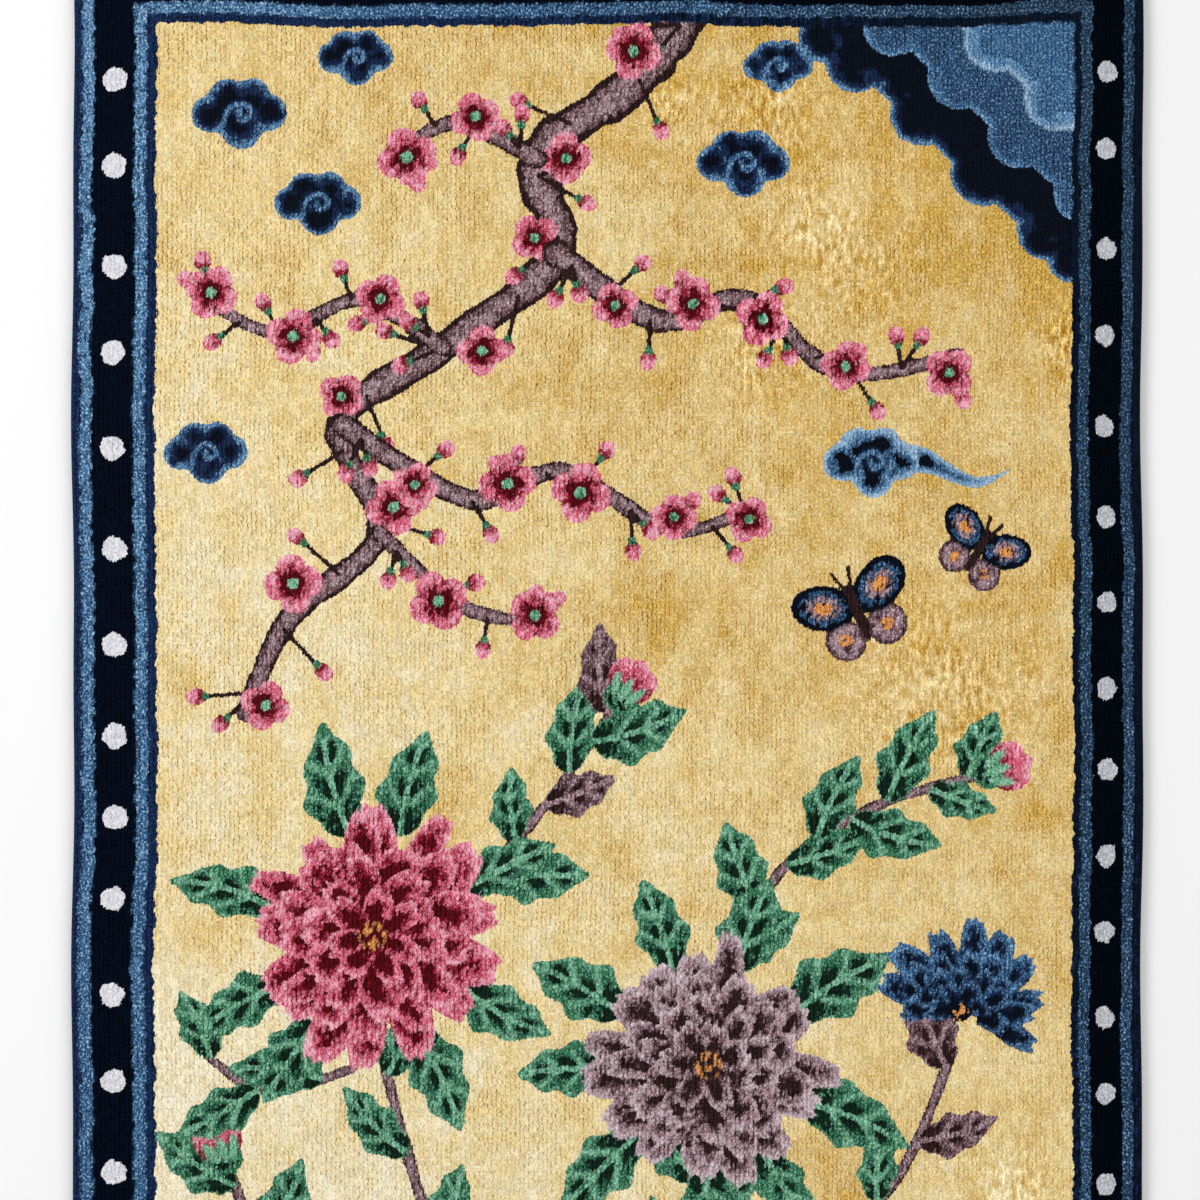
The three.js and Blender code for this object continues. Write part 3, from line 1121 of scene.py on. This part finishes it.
def thread_material(name, slit, row_gap, grain, pale_grain, relief, shine):
    """Knotted silk: layers of dye with painted shade in the gaps, painted highlight specks, and painted
    glints where it is brushed up.
    """
    nodes = Nodes(name)
    place = nodes.attribute("Knot")["Vector"]
    column, row, nap = nodes.add("ShaderNodeSeparateXYZ", {"Vector": place}).outputs
    lumps = nodes.noise(place, *NOISES["lumps"])
    dyes = dyed_layers(nodes, place)
    brightness = nodes.add("ShaderNodeRGBToBW", {"Color": dyes}).outputs["Val"]
    gloss = nodes.ramp(brightness, 0.004, 0.06)
    coarse = nodes.ramp(brightness, 0.1, 0.7, grain, pale_grain)
    glint = nodes.product(nap, nodes.ramp(lumps, 0.46, 0.68), gloss)
    valley = nodes.product(nap, nodes.ramp(lumps, 0.46, 0.3), VALLEY_DEPTH)
    gap = nodes.math("MAXIMUM", knot_gaps(nodes, place, column, row, slit, row_gap), valley)
    strands = nodes.noise(place, *NOISES["strands"])
    tuft = nodes.chance(nodes.math("MULTIPLY", column, HALVES), row)
    # Painted highlights: pale specks on the tufts of all but the darkest dyes
    highlight_speck = nodes.product(nodes.ramp(strands, 0.48, 0.72), gloss)
    # Painted shade deepens colours in the gaps; painted glints and specks make them paler
    richness = nodes.math("MULTIPLY_ADD", gap, GAP_LOOK["richness"], 1.0)
    richness = nodes.math("MULTIPLY_ADD", glint, GLINT_LOOK["richness"], richness)
    richness = nodes.math("SUBTRACT", richness, nodes.product(highlight_speck, coarse))
    richness = nodes.math("MAXIMUM", richness, LEAST_RICHNESS)
    colour = nodes.add("ShaderNodeGamma", {"Color": dyes, "Gamma": richness}).outputs["Color"]
    # Painted shade darkens the gaps and painted glints brighten; the tuft and strand terms are random
    # tone
    tone = nodes.product(
        nodes.ramp(gap, 0.0, 1.0, 1.0, GAP_LOOK["tone"]),
        nodes.math("MULTIPLY_ADD", glint, GLINT_LOOK["tone"], 1.0),
        nodes.math("MULTIPLY_ADD", nodes.ramp(tuft, 0.0, 1.0, -0.3, 0.15), coarse, 1.0),
        nodes.math("MULTIPLY_ADD", nodes.ramp(strands, 0.28, 0.5, -0.5, 0.0), coarse, 1.0),
    )
    toned = nodes.add("ShaderNodeVectorMath", {0: colour, "Scale": tone}, operation="SCALE")
    height = nodes.math("MULTIPLY_ADD", strands, 0.5, glint)
    bump_inputs = {"Height": height, "Strength": BUMP_STRENGTH, "Distance": relief}
    bump = nodes.add("ShaderNodeBump", bump_inputs)
    nodes.feed(nodes.surface, {
        "Base Color": toned.outputs["Vector"],
        "Roughness": nodes.ramp(strands, 0.3, 0.7, 0.5, 0.7),
        "Specular IOR Level": shine,
        "Normal": bump.outputs["Normal"],
    })
    return nodes.material


# The stage, in metres

CAMERA = {"x": -0.0053, "y": 0.142, "frame": 0.8515, "lens": 85.0, "sensor": 36.0}
FLOOR_SIDE = 30.0
FLOOR_DROP = 0.0003
FLOOR_LOOK = {"Base Color": (0.96, 0.96, 0.96, 1.0), "Roughness": 0.8, "Specular IOR Level": 0.1}
LIGHTS = table(
    "name place side power",
    ("key", (-2.0, 0.9, 2.2), 1.4, 52.0),
    ("fill", (1.9, 0.4, 2.4), 2.2, 32.0),
    ("back", (0.1, -2.2, 2.2), 2.0, 12.0),
)
WORLD_STRENGTH = 0.3


def make_floor():
    mesh = bpy.data.meshes.new("floor")
    half = FLOOR_SIDE / 2
    corners = [(-half, -half), (half, -half), (half, half), (-half, half)]
    mesh.from_pydata([(x, y, -FLOOR_DROP) for x, y in corners], [], [(0, 1, 2, 3)])
    nodes = Nodes("pale floor")
    nodes.feed(nodes.surface, FLOOR_LOOK)
    mesh.materials.append(nodes.material)
    floor = add_object("floor", mesh)


def make_lights():
    for row in LIGHTS:
        light = bpy.data.lights.new(row["name"], "AREA")
        light.energy = row["power"]
        light.size = row["side"]
        lamp = add_object(row["name"], light)
        lamp.location = row["place"]
        lamp.rotation_euler = (-lamp.location).to_track_quat("-Z", "Y").to_euler()
    world = bpy.data.worlds.new("studio")
    world.use_nodes = True
    sky = world.node_tree.nodes["Background"]
    sky.inputs["Color"].default_value = (1.0, 1.0, 1.0, 1.0)
    sky.inputs["Strength"].default_value = WORLD_STRENGTH
    bpy.context.scene.world = world
    bpy.context.scene.view_settings.view_transform = "Standard"


def make_camera():
    """Straight above the rug, as in the photograph, which leaves out its lower end."""
    lens = bpy.data.cameras.new("camera")
    lens.lens = CAMERA["lens"]
    lens.sensor_width = CAMERA["sensor"]
    camera = add_object("camera", lens)
    distance = CAMERA["frame"] * CAMERA["lens"] / CAMERA["sensor"]
    camera.location = (CAMERA["x"], CAMERA["y"], (FOUNDATION + PILE) * MM + distance)
    bpy.context.scene.camera = camera


# The rug

def make_rug():
    chart = draw_chart()
    x, y = chart.x[::SAMPLES, ::SAMPLES], chart.y[::SAMPLES, ::SAMPLES]
    layers = pile_layers(chart, x, y)
    nap = brushed_up(x, y)
    surface = pile_surface(x, y, nap, layers["Body"][..., 3])
    normals = grid_normals(surface)
    rows, columns = np.indices(GRID) / HALVES
    knots = np.dstack((columns, rows, nap))

    edge = round(BORDER_KNOTS * HALVES)
    right = FACE_COLUMNS - edge
    first, second, third, last = np.linspace(edge, FACE_ROWS - edge, 4).astype(int)
    blocks = table(
        "name rows columns",
        ("border_left", (0, FACE_ROWS), (0, edge)),
        ("border_right", (0, FACE_ROWS), (right, FACE_COLUMNS)),
        ("border_bottom", (0, edge), (edge, right)),
        ("border_top", (last, FACE_ROWS), (edge, right)),
        ("field_lower", (first, second), (edge, right)),
        ("field_middle", (second, third), (edge, right)),
        ("field_upper", (third, last), (edge, right)),
    )
    threads = {row["name"]: thread_material(**row) for row in THREADS}
    for block in blocks:
        slot = "field_silk" if block["name"].startswith("field") else "border_silk"
        mesh = pile_block(**block, surface=surface, normals=normals, layers=layers, knots=knots)
        add_piece(mesh, threads[slot])
    slab = foundation_slab(surface, flattened(layers), knots)
    foundation = add_piece(slab, threads["foundation"])


make_rug()
make_floor()
make_lights()
make_camera()
